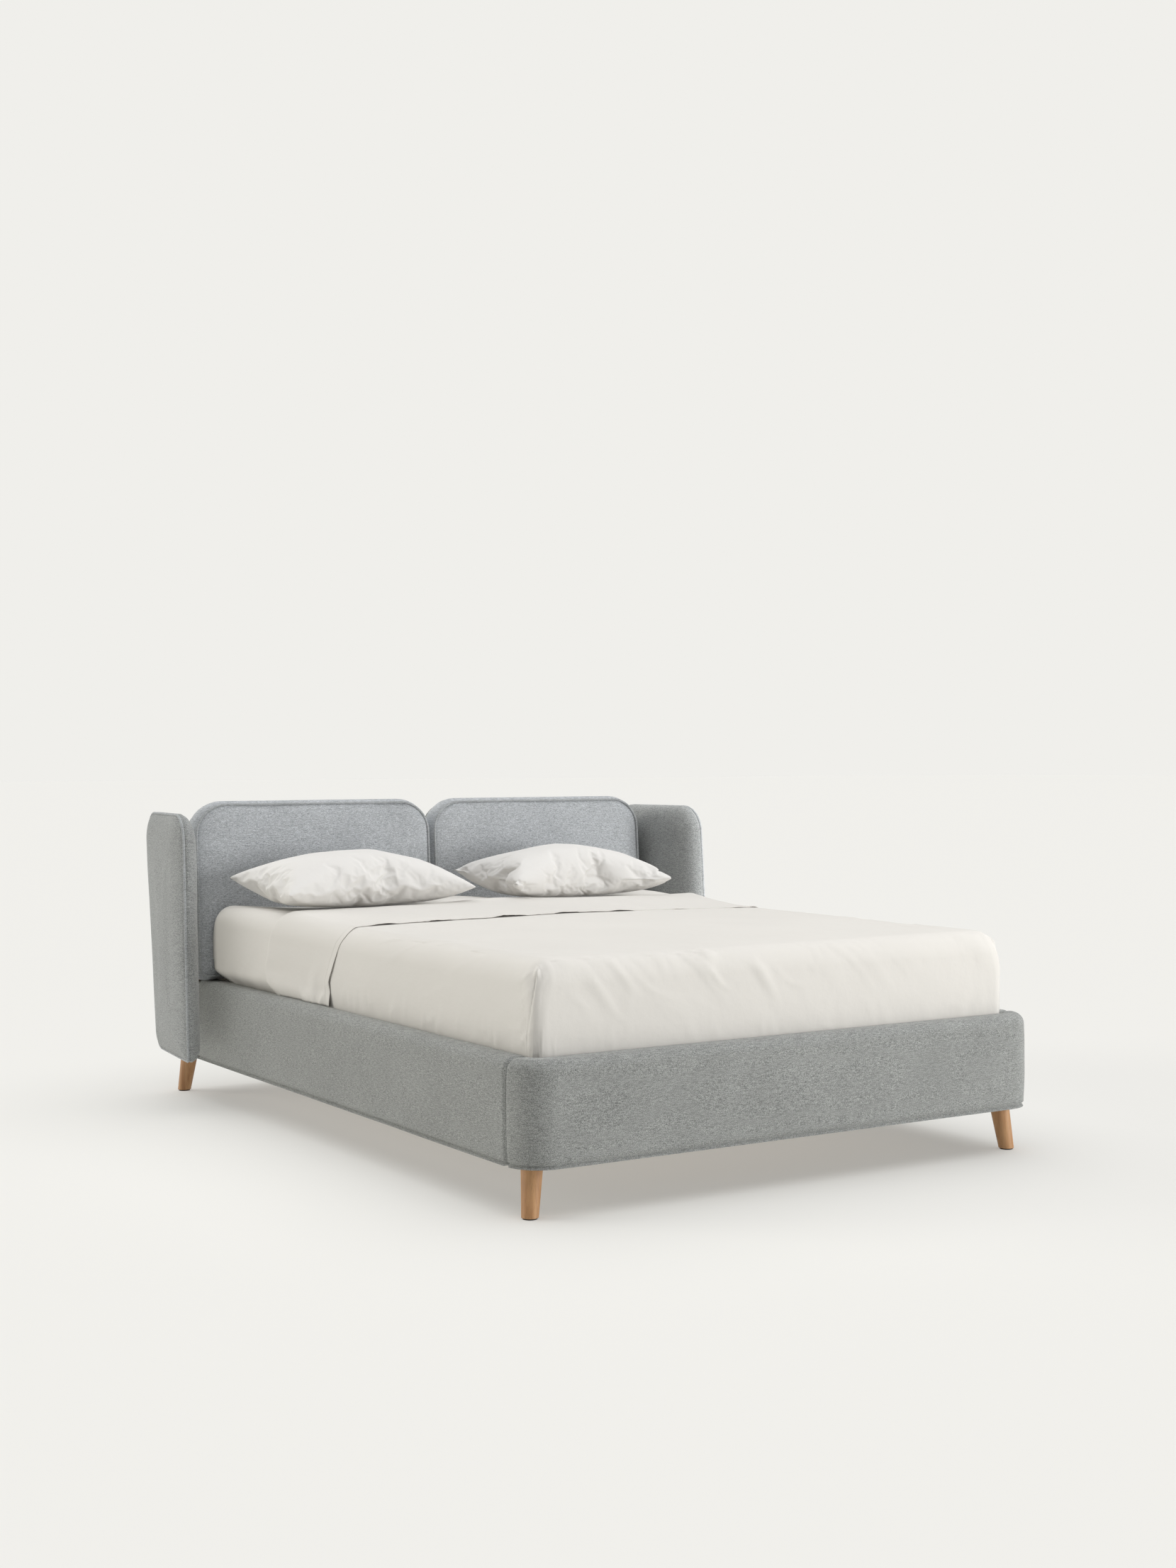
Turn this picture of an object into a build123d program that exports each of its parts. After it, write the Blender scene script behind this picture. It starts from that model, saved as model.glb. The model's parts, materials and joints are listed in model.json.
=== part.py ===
from build123d import *
import os
from math import cos, radians, sin, tan

# Winged upholstered double bed, dressed with a mattress, sheets and two pillows.
# Millimetres. +Z is up, +Y points to the head. The origin is on the floor, under the
# centre of the whole bed.

# ---- driving dimensions -------------------------------------------------------------
overall_length = 2425.0
foot_y = -overall_length / 2          # outer face of the foot rail
head_y = overall_length / 2           # back of the headboard

# padded rails
rail_half_width = 877.0               # centre line to the outer face of a side rail
rail_thick = 71.0
rail_bottom = 133.0
rail_top = 408.0
rail_round_top = 30.0
rail_round_inner = 18.0
rail_round_bottom = 14.0
foot_corner_radius = 98.0
seam_from_foot = 101.0                # where the foot cover stops on the side rails
skin = 6.0                            # fabric and thin foam on a rail's inner side

# boards inside the rails
board_thick = 28.0
board_bottom = 137.0
board_top = 380.0

# headboard
cushion_top = 1010.0                  # height of the cushion's front top edge
cushion_front_from_foot = 2180.0      # front face of the cushions, at that height
cushion_bottom = 424.0
cushion_thick = 90.0
cushion_outer_x = 902.0
cushion_gap = 26.0                    # between the two cushions
cushion_corner = 108.0
headboard_lean = 4.0                  # degrees
backing_thick = 15.0
post_width = 74.0
post_top = 930.0
lining = 8.0

# wings
wing_flare = 6.0                      # degrees
wing_x = 1039.0                       # outer face, at wing_reference_from_foot
wing_reference_from_foot = 1920.0
wing_thick = 60.0
wing_bottom = 180.0
wing_top = 981.0
wing_panel_thick = 20.0
wing_board_thick = 18.0
wing_board_inset = 24.0
wing_edge_round = 5.0
wing_front_bottom = (-35.0, wing_bottom)   # outline points: back from the reference, height
wing_front_top = (18.0, wing_top)
wing_rear_top = (505.0, wing_top)
wing_rear_bottom = (370.0, wing_bottom)
wing_corner_rounds = (6.0, 98.0, 85.0, 75.0)
batten_back = 384.0                   # wing battens, back from the reference
batten_wide = 36.0
batten_z = (440.0, 800.0)
piping_size = 5.0

# legs
leg_bottom_d = 45.0
leg_top_d = 58.0
leg_splay = 15.0                      # sideways and lengthways, over the leg's height
front_leg_x = 807.0                   # centre of the leg's top
front_leg_from_foot = 88.0
rear_leg_x = 850.0
rear_leg_from_head = 42.0
glide_d = 38.0
glide_high = 4.0
plate_size = 74.0
plate_thick = board_bottom - rail_bottom
stud_d = 8.0
stud_low = 100.0
stud_high = 180.0

# slatted base
slat_count = 14
slat_wide = 80.0
slat_thick = 18.0
slat_under = 330.0                    # underside of the slats
ledger_wide = 40.0
ledger_high = 35.0
beam_wide = 40.0
beam_high = 70.0
centre_leg_d = 45.0
centre_foot_d = 55.0
centre_foot_high = 12.0
strap_wide = 24.0
strap_thick = 1.0
strap_x = 400.0

# bedding
mattress_wide = 1600.0
mattress_long = 2056.0
mattress_from_foot = 77.0
mattress_bottom = 349.6
mattress_top = 648.0
mattress_upright_round = 40.0
mattress_top_round = 34.0
fitted_thick = 1.0
top_sheet_thick = 1.6
tuck_bottom = 360.0
cuff_thick = 12.0
cuff_from_foot = (1262.0, 1660.0)
pillow_long = 720.0
pillow_wide = 450.0
pillow_high = 178.0
pillow_x = 420.0
pillow_from_foot = 1925.0
pillow_tilt = 7.0
case_thick = 3.0

os.makedirs("parts", exist_ok=True)


# ---- shared helpers -----------------------------------------------------------------
def keep(piece, node):
    """Label a finished piece and write it as one node."""
    piece.part.label = node
    export_step(piece.part, f"parts/{node}.step")


def keep_pair(piece, node):
    """Write a right-hand piece and its mirror image."""
    with BuildPart() as twin:
        mirror(piece.part, about=Plane.YZ)
    keep(piece, node + "_right")
    keep(twin, node + "_left")


def block(x, y, z, mode=Mode.ADD):
    """A box between the two limits given on each axis."""
    with BuildSketch(Plane.XY.offset(z[0])) as base:
        with Locations(((x[0] + x[1]) / 2, (y[0] + y[1]) / 2)):
            Rectangle(x[1] - x[0], y[1] - y[0])
    extrude(base.sketch, amount=z[1] - z[0], mode=mode)


def both_sides(x, y, z, mode=Mode.ADD):
    """The same box at +X and at -X."""
    block(x, y, z, mode)
    block((-x[1], -x[0]), y, z, mode)


def round_corner(shape, point, radius):
    """Round the corner of a flat outline that lies nearest to point."""
    fillet(shape.vertices().sort_by_distance((point[0], point[1], 0))[0], radius=radius)


def rod(origin, direction, diameter, length, mode=Mode.ADD):
    """A round bar from origin along direction."""
    with BuildSketch(Plane(origin=origin, z_dir=direction)) as end:
        Circle(diameter / 2)
    extrude(end.sketch, amount=length, mode=mode)


# ---- places worked out from the driving dimensions ----------------------------------
rail_inner_x = rail_half_width - rail_thick
rail_inner_y = foot_y + rail_thick
seam_y = foot_y + seam_from_foot
side_board_x = (rail_inner_x + skin, rail_inner_x + skin + board_thick)
foot_board_y = (rail_inner_y - skin - board_thick, rail_inner_y - skin)
lean = radians(headboard_lean)
flare = radians(wing_flare)

face_plane = Plane(
    origin=(0, foot_y + cushion_front_from_foot, cushion_top),
    x_dir=(1, 0, 0),
    z_dir=(0, -cos(lean), sin(lean)),
)
backing_depth = cushion_thick + backing_thick


def backing_y(z):
    """Y of the plane behind the headboard's backing boards, at height z."""
    face = foot_y + cushion_front_from_foot - (cushion_top - z) * tan(lean)
    return face + backing_depth / cos(lean)


frame_front_y = backing_y(cushion_bottom - backing_depth * sin(lean))
post_x = (rail_inner_x, rail_inner_x + post_width)
cross_rail_y = (frame_front_y - 30, frame_front_y)
cross_rail_z = (200.0, slat_under)

leg_tops = {
    "front": (front_leg_x, foot_y + front_leg_from_foot, -1),
    "rear": (rear_leg_x, head_y - rear_leg_from_head, 1),
}
corner_block_x = (side_board_x[0] - plate_size, side_board_x[0])
corner_block_y = (foot_board_y[1], foot_board_y[1] + plate_size)
corner_block_z = (board_bottom, 300.0)

block_bolt_z = (210.0, 270.0)
wing_bolt_z = (470.0, 620.0, 770.0)
wing_bolt_y = foot_y + wing_reference_from_foot + batten_back * cos(flare)
wing_bolt_x = (post_x[1] - 40, 972.0)
joint_plate_y = (frame_front_y - 90, frame_front_y + 90)
joint_plate_z = (150.0, 195.0)
joint_bolt_y = [frame_front_y + offset for offset in (-70, -40, 40, 70)]
bolt_d = 8.0

wing_plane = Plane(
    origin=(wing_x, foot_y + wing_reference_from_foot, 0),
    x_dir=(-sin(flare), cos(flare), 0),
    z_dir=(cos(flare), sin(flare), 0),
)


# ---- fastener solids, also used to cut their holes ----------------------------------
def plates(mode=Mode.ADD):
    half = plate_size / 2
    for x, y, _ in leg_tops.values():
        both_sides((x - half, x + half), (y - half, y + half), (rail_bottom, board_bottom), mode)


def studs(mode=Mode.ADD):
    for x, y, _ in leg_tops.values():
        for side in (-1, 1):
            rod((side * x, y, stud_low), (0, 0, 1), stud_d, stud_high - stud_low, mode)


def corner_bolts(mode=Mode.ADD):
    inner_x, inner_y = corner_block_x[0] + 15, corner_block_y[1] - 15
    for side in (-1, 1):
        for z in block_bolt_z:
            start = (side * inner_x, corner_block_y[1] - 20, z)
            rod(start, (side, 0, 0), bolt_d, side_board_x[1] - 6 - inner_x, mode)
            start = (side * (corner_block_x[0] + 20), inner_y, z + 15)
            rod(start, (0, -1, 0), bolt_d, inner_y - foot_board_y[0] - 6, mode)


def wing_bolts(mode=Mode.ADD):
    for side in (-1, 1):
        for z in wing_bolt_z:
            start = (side * wing_bolt_x[0], wing_bolt_y, z)
            rod(start, (side, 0, 0), bolt_d, wing_bolt_x[1] - wing_bolt_x[0], mode)


def joint_bolts(mode=Mode.ADD):
    z = sum(joint_plate_z) / 2
    for side in (-1, 1):
        for y in joint_bolt_y:
            rod((side * (rail_inner_x - 6), y, z), (side, 0, 0), bolt_d, 30, mode)


# ---- padded rails -------------------------------------------------------------------
with BuildPart() as side_board:
    block(side_board_x, (foot_board_y[1], frame_front_y), (board_bottom, board_top))
    corner_bolts(Mode.SUBTRACT)
    joint_bolts(Mode.SUBTRACT)
keep_pair(side_board, "side_rail_board")

with BuildPart() as side_cover:
    with BuildSketch(Plane(origin=(0, seam_y, 0), x_dir=(1, 0, 0), z_dir=(0, -1, 0))) as section:
        with Locations(((rail_inner_x + rail_half_width) / 2, (rail_bottom + rail_top) / 2)):
            Rectangle(rail_thick, rail_top - rail_bottom)
        round_corner(section, (rail_half_width, rail_top), rail_round_top)
        round_corner(section, (rail_inner_x, rail_top), rail_round_inner)
        round_corner(section, (rail_half_width, rail_bottom), rail_round_bottom)
        with Locations((sum(side_board_x) / 2, (board_bottom + board_top) / 2)):
            Rectangle(board_thick, board_top - board_bottom, mode=Mode.SUBTRACT)
    extrude(amount=-(frame_front_y - seam_y))
    plates(Mode.SUBTRACT)
    block(corner_block_x, corner_block_y, corner_block_z, Mode.SUBTRACT)
    joint_bolts(Mode.SUBTRACT)
keep_pair(side_cover, "side_rail_cover")

with BuildPart() as foot_board:
    block((-side_board_x[1], side_board_x[1]), foot_board_y, (board_bottom, board_top))
    corner_bolts(Mode.SUBTRACT)
keep(foot_board, "foot_rail_board")

with BuildPart() as foot_cover:
    with BuildSketch(Plane.XY.offset(rail_bottom)) as outline:
        with Locations((0, (foot_y + seam_y) / 2)):
            Rectangle(2 * rail_half_width, seam_from_foot)
        fillet(outline.vertices().group_by(Axis.Y)[0], radius=foot_corner_radius)
        with Locations((0, (rail_inner_y + seam_y) / 2)):
            Rectangle(2 * rail_inner_x, seam_y - rail_inner_y, mode=Mode.SUBTRACT)
    extrude(amount=rail_top - rail_bottom)
    along = foot_cover.edges().filter_by(lambda e: e.center().Y < seam_y - 1)
    outer = along.filter_by(lambda e: e.center().Y < foot_y + 45 or abs(e.center().X) > rail_half_width - 1)
    inner = along.filter_by(lambda e: e.center().Y > foot_y + 60 and abs(e.center().X) < rail_inner_x + 1)
    fillet(outer.group_by(Axis.Z)[-1], radius=rail_round_top)
    fillet(inner.group_by(Axis.Z)[-1], radius=rail_round_inner)
    under = foot_cover.faces().sort_by(Axis.Z)[0].edges()
    under = under.filter_by(lambda e: e.center().Y < seam_y - 1)
    fillet(
        under.filter_by(lambda e: e.center().Y < foot_y + 45 or abs(e.center().X) > rail_half_width - 1),
        radius=rail_round_bottom,
    )
    block((-side_board_x[1], side_board_x[1]), foot_board_y, (board_bottom, board_top), Mode.SUBTRACT)
    both_sides(side_board_x, (foot_board_y[1], seam_y), (board_bottom, board_top), Mode.SUBTRACT)
    both_sides(corner_block_x, corner_block_y, corner_block_z, Mode.SUBTRACT)
    plates(Mode.SUBTRACT)
keep(foot_cover, "foot_rail_cover")

# ---- corner blocks and fasteners ----------------------------------------------------
with BuildPart() as corner_blocks:
    both_sides(corner_block_x, corner_block_y, corner_block_z)
    corner_bolts(Mode.SUBTRACT)
    studs(Mode.SUBTRACT)
keep(corner_blocks, "corner_blocks")

with BuildPart() as bolts:
    corner_bolts()
keep(bolts, "corner_bolts")

with BuildPart() as joint_plates:
    both_sides((rail_inner_x - 3, rail_inner_x), joint_plate_y, joint_plate_z)
    joint_bolts(Mode.SUBTRACT)
keep(joint_plates, "rail_joint_plates")

with BuildPart() as bolts:
    joint_bolts()
keep(bolts, "rail_joint_bolts")

# ---- legs ---------------------------------------------------------------------------
for name, (leg_x, leg_y, outward) in leg_tops.items():
    foot_centre = (leg_x + leg_splay, leg_y + outward * leg_splay)
    with BuildPart() as leg:
        with BuildSketch(Plane.XY.offset(glide_high)):
            with Locations(foot_centre):
                Circle(leg_bottom_d / 2)
        with BuildSketch(Plane.XY.offset(rail_bottom)):
            with Locations((leg_x, leg_y)):
                Circle(leg_top_d / 2)
        loft()
        studs(Mode.SUBTRACT)
    keep_pair(leg, "leg_" + name)

with BuildPart() as glides:
    for leg_x, leg_y, outward in leg_tops.values():
        for side in (-1, 1):
            centre = (side * (leg_x + leg_splay), leg_y + outward * leg_splay, 0)
            rod(centre, (0, 0, 1), glide_d, glide_high)
keep(glides, "leg_glides")

with BuildPart() as leg_plates:
    plates()
    studs(Mode.SUBTRACT)
keep(leg_plates, "leg_plates")

with BuildPart() as leg_studs:
    studs()
keep(leg_studs, "leg_studs")

# ---- headboard frame ----------------------------------------------------------------
frame_bend_z = cushion_bottom - backing_depth * sin(lean)


def frame_profile(top, back_y):
    """Side view of the headboard frame, up to top and back to back_y."""
    with BuildLine() as edge:
        Polyline(
            (frame_front_y, board_bottom),
            (frame_front_y, frame_bend_z),
            (backing_y(top), top),
            (back_y, top),
            (back_y, board_bottom),
            close=True,
        )
    make_face(edge.line)


with BuildPart() as post:
    with BuildSketch(Plane.YZ.offset(post_x[0])):
        frame_profile(post_top, head_y - lining)
    extrude(amount=post_width)
    studs(Mode.SUBTRACT)
    wing_bolts(Mode.SUBTRACT)
    joint_bolts(Mode.SUBTRACT)
keep_pair(post, "headboard_post")

with BuildPart() as back_lining:
    with BuildSketch(Plane.YZ.offset(-post_x[1] - lining)):
        frame_profile(post_top + lining, head_y)
    extrude(amount=2 * (post_x[1] + lining))
    with BuildSketch(Plane.YZ.offset(-post_x[1])):
        with Locations(((frame_front_y - 60 + head_y - lining) / 2, post_top / 2)):
            Rectangle(head_y - lining - frame_front_y + 60, post_top)
    extrude(amount=2 * post_x[1], mode=Mode.SUBTRACT)
    wing_bolts(Mode.SUBTRACT)
keep(back_lining, "headboard_back_lining")

with BuildPart() as headboard_rails:
    for rail_z in (210.0, 520.0, 840.0):
        front = max(frame_front_y, backing_y(rail_z + 80)) + 2
        block((-post_x[0], post_x[0]), (front, front + 30), (rail_z, rail_z + 80))
keep(headboard_rails, "headboard_rails")

with BuildPart() as head_cross_rail:
    block((-rail_inner_x, rail_inner_x), cross_rail_y, cross_rail_z)
keep(head_cross_rail, "head_cross_rail")


# ---- headboard cushions -------------------------------------------------------------
def cushion_outline(margin=0.0, mode=Mode.ADD):
    """Front view of one cushion, grown by margin. Local Y is 0 at the top edge."""
    low = -(cushion_top - cushion_bottom) / cos(lean)
    inner_x = cushion_gap / 2
    with BuildSketch(mode=Mode.PRIVATE) as shape:
        with Locations(((inner_x + cushion_outer_x) / 2, low / 2)):
            Rectangle(cushion_outer_x - inner_x + 2 * margin, -low + 2 * margin)
        fillet(shape.vertices().group_by(Axis.Y)[-1], radius=cushion_corner + margin)
    add(shape.sketch, mode=mode)


with BuildPart() as cushion:
    with BuildSketch(face_plane):
        cushion_outline()
    extrude(amount=-cushion_thick)
keep_pair(cushion, "headboard_cushion")

with BuildPart() as backing:
    with BuildSketch(face_plane.offset(-cushion_thick)):
        cushion_outline()
    extrude(amount=-backing_thick)
keep_pair(backing, "headboard_board")

with BuildPart() as piping:
    with BuildSketch(face_plane):
        cushion_outline(piping_size)
        cushion_outline(mode=Mode.SUBTRACT)
    extrude(amount=-piping_size)
keep_pair(piping, "headboard_piping")


# ---- wings --------------------------------------------------------------------------
wing_corners = (wing_front_bottom, wing_front_top, wing_rear_top, wing_rear_bottom)


def wing_outline(margin=0.0, mode=Mode.ADD):
    """Side view of a wing, grown by margin. Local X runs back, local Y up."""
    with BuildSketch(mode=Mode.PRIVATE) as shape:
        with BuildLine():
            Polyline(*wing_corners, close=True)
        make_face()
        for corner, radius in zip(wing_corners, wing_corner_rounds):
            round_corner(shape, corner, radius)
        if margin:
            offset(amount=margin)
    add(shape.sketch, mode=mode)


with BuildPart() as wing_panel:
    with BuildSketch(wing_plane):
        wing_outline()
    extrude(amount=-wing_panel_thick)
keep_pair(wing_panel, "wing_outer_panel")

with BuildPart() as wing_board:
    with BuildSketch(wing_plane.offset(-wing_panel_thick)):
        wing_outline(-wing_board_inset)
    extrude(amount=-wing_board_thick)
    wing_bolts(Mode.SUBTRACT)
keep_pair(wing_board, "wing_board")

with BuildPart() as wing_batten:
    with BuildSketch(wing_plane.offset(-wing_panel_thick - wing_board_thick)):
        with Locations((batten_back, sum(batten_z) / 2)):
            Rectangle(batten_wide, batten_z[1] - batten_z[0])
    extrude(amount=-2 * wing_thick)
    block((0, post_x[1] + lining), (0, head_y), batten_z, Mode.SUBTRACT)
    wing_bolts(Mode.SUBTRACT)
keep_pair(wing_batten, "wing_batten")

with BuildPart() as wing_cushion:
    with BuildSketch(wing_plane.offset(-wing_panel_thick)):
        wing_outline()
    extrude(amount=-(wing_thick - wing_panel_thick))
    inner_face = wing_cushion.faces().filter_by(Plane.XY, reverse=True).sort_by(Axis.X)[0]
    fillet(inner_face.edges(), radius=wing_edge_round)
    with BuildSketch(wing_plane.offset(-wing_panel_thick)):
        wing_outline(-wing_board_inset)
    extrude(amount=-wing_board_thick, mode=Mode.SUBTRACT)
    add(wing_batten.part, mode=Mode.SUBTRACT)
    wing_bolts(Mode.SUBTRACT)
keep_pair(wing_cushion, "wing_cushion")

with BuildPart() as wing_piping:
    with BuildSketch(wing_plane):
        wing_outline(piping_size)
        wing_outline(mode=Mode.SUBTRACT)
    extrude(amount=-piping_size)
keep_pair(wing_piping, "wing_piping")

with BuildPart() as bolts:
    wing_bolts()
keep(bolts, "wing_bolts")

# ---- slatted base -------------------------------------------------------------------
slats_y = (foot_y + mattress_from_foot, foot_y + mattress_from_foot + mattress_long)
slat_pitch = (mattress_long - slat_wide) / (slat_count - 1)
hanger_thick = 3.0

with BuildPart() as ledger:
    ledger_x = (rail_inner_x - ledger_wide, rail_inner_x)
    ledger_y = (corner_block_y[1] + 2, cross_rail_y[0] - 10)
    block(ledger_x, ledger_y, (slat_under - ledger_high, slat_under))
keep_pair(ledger, "slat_ledger")

beam_y = (rail_inner_y + hanger_thick, cross_rail_y[0] - hanger_thick)
with BuildPart() as centre_beam:
    block((-beam_wide / 2, beam_wide / 2), beam_y, (slat_under - beam_high, slat_under))
keep(centre_beam, "centre_beam")

with BuildPart() as hangers:
    hanger_z = (slat_under - beam_high, slat_under)
    for y in ((rail_inner_y, beam_y[0]), (beam_y[1], cross_rail_y[0])):
        block((-beam_wide, beam_wide), y, hanger_z)
keep(hangers, "beam_hangers")

with BuildPart() as centre_legs:
    for share in (1 / 3, 2 / 3):
        leg_y = beam_y[0] + share * (beam_y[1] - beam_y[0])
        leg_long = slat_under - beam_high - centre_foot_high
        rod((0, leg_y, centre_foot_high), (0, 0, 1), centre_leg_d, leg_long)
keep(centre_legs, "centre_legs")

with BuildPart() as centre_feet:
    for share in (1 / 3, 2 / 3):
        leg_y = beam_y[0] + share * (beam_y[1] - beam_y[0])
        rod((0, leg_y, 0), (0, 0, 1), centre_foot_d, centre_foot_high)
keep(centre_feet, "centre_leg_feet")

with BuildPart() as slats:
    for index in range(slat_count):
        start = slats_y[0] + index * slat_pitch
        block((-mattress_wide / 2, mattress_wide / 2), (start, start + slat_wide),
              (slat_under, slat_under + slat_thick))
keep(slats, "slats")

with BuildPart() as straps:
    strap_z = (slat_under + slat_thick, slat_under + slat_thick + strap_thick)
    both_sides((strap_x - strap_wide / 2, strap_x + strap_wide / 2), slats_y, strap_z)
keep(straps, "slat_straps")


# ---- mattress and sheets ------------------------------------------------------------
def mattress_block(grow, low, foot_end, head_end, top_grow, mode=Mode.ADD):
    """A block with rounded upright corners and rounded top edges."""
    with BuildSketch(Plane.XY.offset(low), mode=Mode.PRIVATE) as plan:
        with Locations((0, (foot_end + head_end) / 2)):
            Rectangle(mattress_wide + 2 * grow, head_end - foot_end)
        fillet(plan.vertices(), radius=mattress_upright_round + grow)
    with BuildPart(mode=Mode.PRIVATE) as body:
        add(plan.sketch)
        extrude(amount=mattress_top + top_grow - low)
        fillet(body.faces().sort_by(Axis.Z)[-1].edges(), radius=mattress_top_round + grow)
    add(body.part, mode=mode)


with BuildPart() as mattress:
    mattress_block(0, mattress_bottom, slats_y[0], slats_y[1], 0)
keep(mattress, "mattress")

with BuildPart() as fitted:
    grow = fitted_thick
    mattress_block(grow, mattress_bottom, slats_y[0] - grow, slats_y[1] + grow, grow)
    mattress_block(0, mattress_bottom, slats_y[0], slats_y[1], 0, Mode.SUBTRACT)
keep(fitted, "fitted_sheet")

with BuildPart() as top_sheet:
    inner = fitted_thick
    outer = fitted_thick + top_sheet_thick
    mattress_block(outer, tuck_bottom, slats_y[0] - outer, slats_y[1] + outer, outer)
    cuff_y = (foot_y + cuff_from_foot[0], foot_y + cuff_from_foot[1])
    half = mattress_wide / 2 - mattress_top_round
    block((-half, half), cuff_y, (mattress_top - 20, mattress_top + outer + cuff_thick))
    mattress_block(inner, tuck_bottom, slats_y[0] - inner, slats_y[1] + inner, inner, Mode.SUBTRACT)
    block((-mattress_wide, mattress_wide), (cuff_y[1], head_y), (tuck_bottom, cushion_top), Mode.SUBTRACT)
keep(top_sheet, "top_sheet")


# ---- pillows ------------------------------------------------------------------------
def pillow_solid(shrink, mode=Mode.ADD):
    """A lens-like pillow: a middle outline tapering to a smaller top and bottom."""
    tilt = radians(pillow_tilt)
    centre_z = mattress_top + fitted_thick + 1 + pillow_high / 2 + 16
    middle = Plane(
        origin=(pillow_x, foot_y + pillow_from_foot, centre_z),
        x_dir=(1, 0, 0),
        z_dir=(0, -sin(tilt), cos(tilt)),
    )
    half_high = pillow_high / 2 - shrink
    with BuildPart(mode=Mode.PRIVATE) as body:
        for direction in (-1, 1):
            with BuildSketch(middle):
                RectangleRounded(pillow_long - 2 * shrink, pillow_wide - 2 * shrink, 60)
            with BuildSketch(middle.offset(direction * half_high)):
                RectangleRounded(pillow_long * 0.62, pillow_wide * 0.5, 60)
            loft()
    add(body.part, mode=mode)


with BuildPart() as pillow:
    pillow_solid(case_thick)
keep_pair(pillow, "pillow")

with BuildPart() as pillowcase:
    pillow_solid(0)
    pillow_solid(case_thick, Mode.SUBTRACT)
keep_pair(pillowcase, "pillowcase")
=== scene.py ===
"""Looks for the winged upholstered double bed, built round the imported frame. Metres."""
import json
import math

import bmesh
import bpy
import numpy as np
from mathutils import Matrix, Vector

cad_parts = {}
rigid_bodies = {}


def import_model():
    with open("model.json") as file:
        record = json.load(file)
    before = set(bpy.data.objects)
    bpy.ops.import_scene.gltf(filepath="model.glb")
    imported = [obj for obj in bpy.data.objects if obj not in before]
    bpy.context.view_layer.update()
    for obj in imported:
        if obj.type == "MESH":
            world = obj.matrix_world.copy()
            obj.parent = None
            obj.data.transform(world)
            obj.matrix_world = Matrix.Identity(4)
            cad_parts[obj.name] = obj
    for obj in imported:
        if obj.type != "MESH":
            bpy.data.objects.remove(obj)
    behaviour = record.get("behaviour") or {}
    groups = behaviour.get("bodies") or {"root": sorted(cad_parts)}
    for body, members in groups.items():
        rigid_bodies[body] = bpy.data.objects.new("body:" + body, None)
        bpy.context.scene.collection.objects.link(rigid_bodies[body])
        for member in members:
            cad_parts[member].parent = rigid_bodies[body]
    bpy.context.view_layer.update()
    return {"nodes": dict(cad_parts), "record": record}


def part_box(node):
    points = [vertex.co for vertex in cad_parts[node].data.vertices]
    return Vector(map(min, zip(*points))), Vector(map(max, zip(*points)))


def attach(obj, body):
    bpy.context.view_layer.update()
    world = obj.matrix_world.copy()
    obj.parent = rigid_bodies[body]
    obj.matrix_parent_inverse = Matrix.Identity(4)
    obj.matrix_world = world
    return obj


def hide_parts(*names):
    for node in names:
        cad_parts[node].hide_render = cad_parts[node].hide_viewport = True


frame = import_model()
scene = bpy.context.scene
scene.view_settings.view_transform = "Standard"

# ---- places read from the frame ----
foot_low, foot_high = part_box("foot_rail_cover")
rail_low, rail_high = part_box("side_rail_cover_right")
foot_y = foot_low.y
half_width = foot_high.x
rail_bottom = foot_low.z
rail_top = foot_high.z
seam_y = foot_high.y
rail_thick = rail_high.x - rail_low.x
rail_inner_x = half_width - rail_thick
rail_inner_y = foot_y + rail_thick
mattress_low, mattress_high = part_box("mattress")
cushion_low, cushion_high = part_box("headboard_cushion_right")
pillow_low, pillow_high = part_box("pillowcase_right")

# ---- shapes that the frame's boxes don't tell ----
LEAN = math.radians(4)
FLARE = math.radians(6)
CUSHION_TOP = 1.010
CUSHION_FRONT = foot_y + 2.180
CUSHION_THICK = 0.090
CUSHION_CORNER = 0.108
WING_X = 1.039
WING_Y = foot_y + 1.920
WING_BOTTOM = 0.180
WING_TOP = 0.981
PIPING_RADIUS = 0.0042
PIPING_INSET = 0.0005
FOOT_CORNER = 0.098

# ---- light strengths ----
TOP_SUN = 2.80
FRONT_SUN = 0.28
LEFT_SUN = 1.32
WING_SUN = 3.2
PANEL_WATTS = 300.0
FLOOR_GLOW = 0.335


# ---- numbers and noise ----
def hashed(cells, seed):
    """A repeatable number from -1 to 1 for each whole-number cell."""
    x, y, z = (cells[:, i].astype(np.int64).astype(np.uint32) for i in range(3))
    h = x * np.uint32(374761393) + y * np.uint32(668265263) + z * np.uint32(2147483647)
    h = h + np.uint32(seed * 1013904223 % 4294967296)
    h = (h ^ (h >> np.uint32(13))) * np.uint32(1274126177)
    h = h ^ (h >> np.uint32(16))
    return h.astype(np.float64) / 2147483647.5 - 1


def noise(points, size, seed=0):
    """Smooth noise from about -1 to 1. Size is one cell, or a cell's three sides, in metres."""
    q = np.asarray(points, float) / np.asarray(size, float)
    base = np.floor(q)
    f = q - base
    w = f * f * f * (f * (f * 6 - 15) + 10)
    total = np.zeros(len(q))
    for dx in (0, 1):
        for dy in (0, 1):
            for dz in (0, 1):
                corner = hashed(base + (dx, dy, dz), seed)
                share = np.where(dx, w[:, 0], 1 - w[:, 0])
                share = share * np.where(dy, w[:, 1], 1 - w[:, 1])
                share = share * np.where(dz, w[:, 2], 1 - w[:, 2])
                total += corner * share
    return total


def ridges(points, size, seed=0):
    """Noise with narrow crests, like creases in cloth, from 0 to 1."""
    return (1 - np.abs(noise(points, size, seed))) ** 3


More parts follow.
